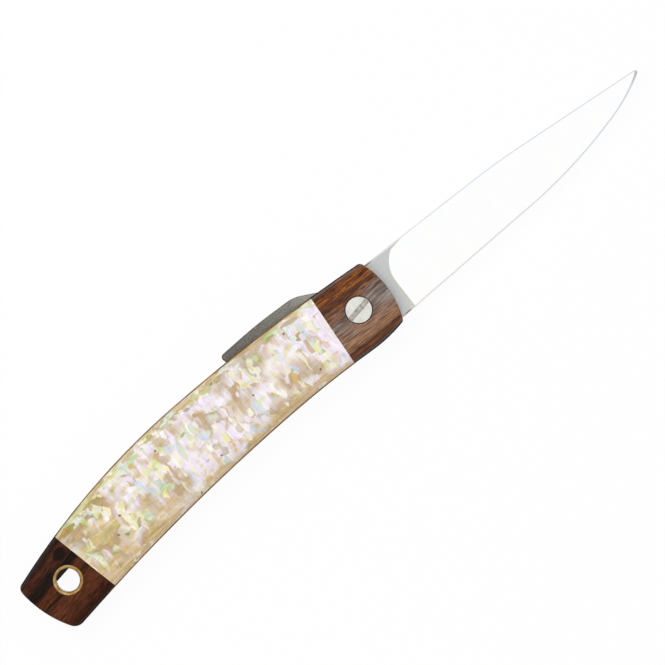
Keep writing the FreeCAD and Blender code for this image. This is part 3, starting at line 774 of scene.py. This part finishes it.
# Some of the shell is yellow-green, more of it towards the butt and the back.
green_place = add(
    tree, "Mapping", {0: bent, "Scale": (1 / 4.0, 1 / 2.4, 1 / 2.4), "Location": (2.6, 1.7, 0.0)}
)
green = add(tree, "TexNoise", {"Vector": green_place, "Scale": 1.0, "Detail": 2.0})
rearward = add(tree, "MapRange", {0: along, 1: -30.0, 2: -85.0, 3: -0.03, 4: 0.06})
green = add(tree, "Math", {0: green, 1: rearward}, operation="ADD")
green = add(tree, "Math", {0: sideways, 1: 0.12, 2: green}, operation="MULTIPLY_ADD")
green_mask = add(
    tree,
    "MapRange",
    {0: green, 1: 0.56, 2: 0.69, 3: 0.0, 4: 0.75},
    interpolation_type="SMOOTHSTEP",
)
colour = add(
    tree,
    "Mix",
    {0: green_mask, 6: colour, 7: linear("#E6EDB6")},
    out=2,
    data_type="RGBA",
    blend_type="MULTIPLY",
)
# Fine lines of the layers, 0.5 mm apart, dim the lustre a little.
hair_place = add(tree, "Mapping", {0: bent, "Scale": (1 / 0.5, 1 / 5.0, 1 / 0.5)})
hair = add(tree, "TexNoise", {"Vector": hair_place, "Scale": 1.0, "Detail": 2.0})
line_shade = add(tree, "MapRange", {0: hair, 1: 0.32, 2: 0.62, 3: 0.93, 4: 1.04})
colour = add(
    tree,
    "Mix",
    {0: 1.0, 6: colour, 7: line_shade},
    out=2,
    data_type="RGBA",
    blend_type="MULTIPLY",
)
# A few specks of trapped dirt, 0.6 mm across and about 16 mm apart.
speck_place = add(tree, "Mapping", {0: bent, "Scale": (1 / 16.0, 1 / 16.0, 0.0)})
speck = add(
    tree,
    "TexVoronoi",
    {"Vector": speck_place, "Scale": 1.0},
    out="Distance",
    voronoi_dimensions="2D",
)
speck_mask = add(tree, "MapRange", {0: speck, 1: 0.028, 2: 0.012, 3: 0.0, 4: 0.85})
colour = add(
    tree, "Mix", {0: speck_mask, 6: colour, 7: linear("#5A4434")}, out=2, data_type="RGBA"
)
bumped = add(tree, "Bump", {"Strength": 0.05, "Distance": 0.00005, "Height": hair})
surface = add(
    tree,
    "BsdfPrincipled",
    {
        "Base Color": colour,
        "Roughness": 0.35,
        "IOR": 1.53,
        "Specular IOR Level": 0.3,
        "Coat Weight": 0.3,
        "Coat Roughness": 0.08,
        "Normal": bumped,
    },
)
add(tree, "OutputMaterial", {0: surface})
dress(shell, "shell_panel_left", "shell_panel_right")


# End blocks: dark heartwood of the same timber, its grain rising a little towards the back.
# Wide near-black bands and a knot beside the lanyard hole, sanded and waxed like the bolsters.
# They too are glued on and kept in place by two dowels each.
end_wood, tree = finish_named("rosewood_heart_waxed")
eyelet_low, eyelet_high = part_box("lanyard_eyelet_right")
eyelet_axis = ((eyelet_low[0] + eyelet_high[0]) / 2, (eyelet_low[1] + eyelet_high[1]) / 2, 0.0)
place = add(tree, "TexCoord", out="Object")
from_eyelet = add(tree, "VectorMath", {0: place, 1: eyelet_axis}, operation="SUBTRACT")
millimetres = add(tree, "VectorMath", {0: from_eyelet, "Scale": mm_per_m}, operation="SCALE")
grain_turn = math.radians(-9.0)
turned = add(tree, "Mapping", {0: millimetres, "Rotation": (0.0, 0.0, grain_turn)})
# The grain parts round a knot of 4 by 3 mm and closes again behind it.
knot_place = add(tree, "Mapping", {0: turned, "Location": (-3.6, -6.2, 0.0)})
knot_share = (1 / 2.1, 1 / 1.5, 0.0)
knot_place = add(tree, "VectorMath", {0: knot_place, 1: knot_share}, operation="MULTIPLY")
knot_ripple = add(tree, "TexNoise", {"Vector": turned, "Scale": 0.7, "Detail": 3.0})
knot_edge = add(tree, "VectorMath", {0: knot_place}, out="Value", operation="LENGTH")
knot_edge = add(tree, "Math", {0: knot_ripple, 1: 0.7, 2: knot_edge}, operation="MULTIPLY_ADD")
knot_mask = add(
    tree,
    "MapRange",
    {0: knot_edge, 1: 1.55, 2: 1.1, 3: 0.0, 4: 0.95},
    interpolation_type="SMOOTHSTEP",
)
across = add(tree, "SeparateXYZ", {0: turned}, out="Y")
knot_side = add(tree, "SeparateXYZ", {0: knot_place}, out="Y")
knot_push = add(tree, "MapRange", {0: knot_edge, 1: 3.2, 2: 1.0, 3: 0.0, 4: -1.1})
parted = add(tree, "Math", {0: knot_side, 1: knot_push, 2: across}, operation="MULTIPLY_ADD")
wander_place = add(tree, "Mapping", {0: turned, "Scale": (1 / 9.0, 1 / 2.6, 1 / 2.6)})
wander = add(tree, "TexNoise", {"Vector": wander_place, "Scale": 1.0, "Detail": 3.0})
shifted = add(tree, "Math", {0: wander, 1: 2.0, 2: parted}, operation="MULTIPLY_ADD")
band_place = add(tree, "MapRange", {0: shifted, 1: -9.0, 2: 11.0, 3: 0.0, 4: 1.0})
bands = add(
    tree,
    "ValToRGB",
    {0: band_place},
    stops=[
        (0.0, "#2C160C"),
        (0.16, "#4C2919"),
        (0.3, "#572E1C"),
        (0.42, "#4A2819"),
        (0.45, "#26150E"),
        (0.48, "#4C2918"),
        (0.58, "#502A1A"),
        (0.62, "#2A1810"),
        (0.65, "#1E1510"),
        (0.74, "#1E1510"),
        (0.78, "#3C2017"),
        (0.84, "#46261A"),
        (0.89, "#2E1A12"),
        (0.93, "#1F1611"),
        (1.0, "#2A170F"),
    ],
)
# Fibres 0.5 mm wide and 3 mm long lighten and darken the bands.
fibre_place = add(tree, "Mapping", {0: turned, "Scale": (1 / 3.0, 1 / 0.5, 1 / 0.5)})
fibre = add(
    tree, "TexNoise", {"Vector": fibre_place, "Scale": 1.0, "Detail": 4.0, "Roughness": 0.7}
)
fibre_shade = add(tree, "MapRange", {0: fibre, 1: 0.32, 2: 0.68, 3: 0.35, 4: 1.75})
heartwood = add(
    tree,
    "Mix",
    {0: 1.0, 6: bands, 7: fibre_shade},
    out=2,
    data_type="RGBA",
    blend_type="MULTIPLY",
)
heartwood = add(
    tree, "Mix", {0: knot_mask, 6: heartwood, 7: linear("#1C1410")}, out=2, data_type="RGBA"
)
wood_gloss = add(tree, "MapRange", {0: fibre, 1: 0.3, 2: 0.7, 3: 0.55, 4: 0.42})
bumped = add(tree, "Bump", {"Strength": 0.15, "Distance": 0.00004, "Height": fibre})
surface = add(
    tree,
    "BsdfPrincipled",
    {
        "Base Color": heartwood,
        "Roughness": wood_gloss,
        "Specular IOR Level": 0.05,
        "Normal": bumped,
    },
)
add(tree, "OutputMaterial", {0: surface})
dress(end_wood, "end_block_left", "end_block_right")


# Lanyard eyelets: short lengths of brass tube pressed through each side, with rounded mouths.
# They are polished to a warm yellow shine, with a brown film in places.
eyelet_brass, tree = finish_named("brass_tube_polished")
place = add(tree, "TexCoord", out="Object")
millimetres = add(tree, "VectorMath", {0: place, "Scale": mm_per_m}, operation="SCALE")
film = add(tree, "TexNoise", {"Vector": millimetres, "Scale": 0.6, "Detail": 4.0})
brass = add(
    tree,
    "ValToRGB",
    {0: film},
    stops=[(0.3, "#93703C"), (0.5, "#B99458"), (0.7, "#DCC79C")],
)
surface = add(tree, "BsdfPrincipled", {"Base Color": brass, "Metallic": 1.0, "Roughness": 0.22})
add(tree, "OutputMaterial", {0: surface})
dress(eyelet_brass, "lanyard_eyelet_left", "lanyard_eyelet_right")


# Pivot screw and nut: turned from steel and polished, each with a slotted head sunk in the bolster.
# The lathe leaves fine rings about the axis, and the slot's floor is duller from the saw.
screw_steel, tree = finish_named("steel_turned_polished")
place = add(tree, "TexCoord", out="Object")
from_pivot = add(tree, "VectorMath", {0: place, 1: pivot}, operation="SUBTRACT")
millimetres = add(tree, "VectorMath", {0: from_pivot, "Scale": mm_per_m}, operation="SCALE")
flat_place = add(tree, "VectorMath", {0: millimetres, 1: (1.0, 1.0, 0.0)}, operation="MULTIPLY")
radius = add(tree, "VectorMath", {0: flat_place}, out="Value", operation="LENGTH")
# The lathe's rings, in millimetres from one to the next.
ring_pitch = 0.25
rings = add(tree, "Math", {0: radius, 1: 2 * math.pi / ring_pitch}, operation="MULTIPLY")
rings = add(tree, "Math", {0: rings}, operation="SINE")
grime = add(tree, "TexNoise", {"Vector": millimetres, "Scale": 1 / 1.6, "Detail": 4.0})
bright = add(
    tree,
    "ValToRGB",
    {0: grime},
    stops=[(0.3, "#D6D5CE"), (0.5, "#E3E3DC"), (0.7, "#ECEBE6")],
)
# The head's top is 6.87 mm from the blade's middle.
# The slot's floor lies 0.7 mm lower and is painted darker with mottling, and is rougher.
outward = add(tree, "SeparateXYZ", {0: millimetres}, out="Z")
outward = add(tree, "Math", {0: outward}, operation="ABSOLUTE")
in_slot = add(tree, "MapRange", {0: outward, 1: 6.75, 2: 6.3, 3: 0.0, 4: 1.0})
slot_mottle_place = add(tree, "Mapping", {0: millimetres, "Scale": (1 / 0.7, 1 / 0.7, 1 / 0.7)})
slot_mottle = add(tree, "TexNoise", {"Vector": slot_mottle_place, "Scale": 1.0, "Detail": 3.0})
slot_darker = add(
    tree, "ValToRGB", {0: slot_mottle}, stops=[(0.35, "#A9A49A"), (0.5, "#C9C5BC"), (0.65, "#D8D5CE")]
)
bright = add(tree, "Mix", {0: in_slot, 6: bright, 7: slot_darker}, out=2, data_type="RGBA")
head_gloss = add(tree, "MapRange", {0: in_slot, 3: 0.28, 4: 0.5})
bumped = add(tree, "Bump", {"Strength": 0.05, "Distance": 0.00002, "Height": rings})
surface = add(
    tree,
    "BsdfPrincipled",
    {"Base Color": bright, "Metallic": 1.0, "Roughness": head_gloss, "Normal": bumped},
)
add(tree, "OutputMaterial", {0: surface})
dress(screw_steel, "pivot_screw", "pivot_nut")


# The table, the light and the camera: a white paper sweep under a large soft ceiling light.
# The knife lies on its left side and is looked at from straight above through a long lens.
paper, tree = finish_named("white_paper_sweep")
ray = add(tree, "LightPath", out="Is Camera Ray")
glossy = add(tree, "LightPath", out="Is Glossy Ray")
through = add(tree, "LightPath", out="Is Transmission Ray")
seen = add(tree, "Math", {0: ray, 1: glossy}, operation="MAXIMUM")
seen = add(tree, "Math", {0: seen, 1: through}, operation="MAXIMUM")
# A small part of the paper's own shade stays, so that the knife keeps a faint shadow.
glow_share = add(tree, "Math", {0: seen, 1: 0.95}, operation="MULTIPLY")
matt = add(tree, "BsdfDiffuse", {"Color": linear("#F4F4F2")})
glow = add(tree, "Emission", {"Color": linear("#FFFFFF"), "Strength": 1.0})
surface = add(tree, "MixShader", {0: glow_share, 1: matt, 2: glow})
add(tree, "OutputMaterial", {0: surface})
sweep_half = 6.0
corners = [
    (-sweep_half, -sweep_half, 0),
    (sweep_half, -sweep_half, 0),
    (sweep_half, sweep_half, 0),
    (-sweep_half, sweep_half, 0),
]
sweep_mesh = bpy.data.meshes.new("paper_sweep")
sweep_mesh.from_pydata(corners, [], [(0, 1, 2, 3)])
sweep_mesh.materials.append(paper)
sweep = bpy.data.objects.new("paper_sweep", sweep_mesh)
bpy.context.scene.collection.objects.link(sweep)

# The ceiling is white overhead and falls off to grey, which shades the rounded flanks.
sky = bpy.data.worlds.new("soft_ceiling")
sky.use_nodes = True
sky.node_tree.nodes.clear()
tree = sky.node_tree
direction = add(tree, "TexCoord", out="Generated")
height = add(tree, "SeparateXYZ", {0: direction}, out="Z")
ceiling = add(
    tree,
    "ValToRGB",
    {0: height},
    stops=[(0.0, "#808080"), (0.5, "#ABABAB"), (0.8, "#DADADA"), (0.93, "#FFFFFF")],
)
background = add(tree, "Background", {"Color": ceiling, "Strength": 1.0})
add(tree, "OutputWorld", {0: background})
bpy.context.scene.world = sky

# A soft lamp on the side of the knife's back adds a little shadow. Polished steel mirrors only
# the ceiling.
key_place = (-0.25, 0.4, 1.0)
key_light = bpy.data.lights.new("key_softbox", "AREA")
key_light.size = 0.5
key_light.energy = 5.2
key = bpy.data.objects.new("key_softbox", key_light)
key.location = key_place
key.rotation_euler = (
    -math.atan2(math.hypot(key_place[0], key_place[1]), key_place[2]),
    0.0,
    -math.atan2(key_place[0], key_place[1]),
)
key.visible_glossy = False
bpy.context.scene.collection.objects.link(key)

# At 9 mm above the paper the frame is 665 pixels of 0.263 mm wide. The knife lies turned in it.
lens_height = 4.0
focus_height = 0.009
frame_width = 665 * 0.000263
frame_turn = math.radians(-41.0)
camera_data = bpy.data.cameras.new("long_lens")
camera_data.sensor_width = 36.0
camera_data.lens = camera_data.sensor_width * lens_height / frame_width
camera_data.clip_end = 100.0
camera = bpy.data.objects.new("long_lens", camera_data)
camera.location = (0.000469, -0.000063, focus_height + lens_height)
camera.rotation_euler = (0.0, 0.0, frame_turn)
bpy.context.scene.collection.objects.link(camera)
bpy.context.scene.camera = camera
bpy.context.scene.view_settings.view_transform = "Standard"
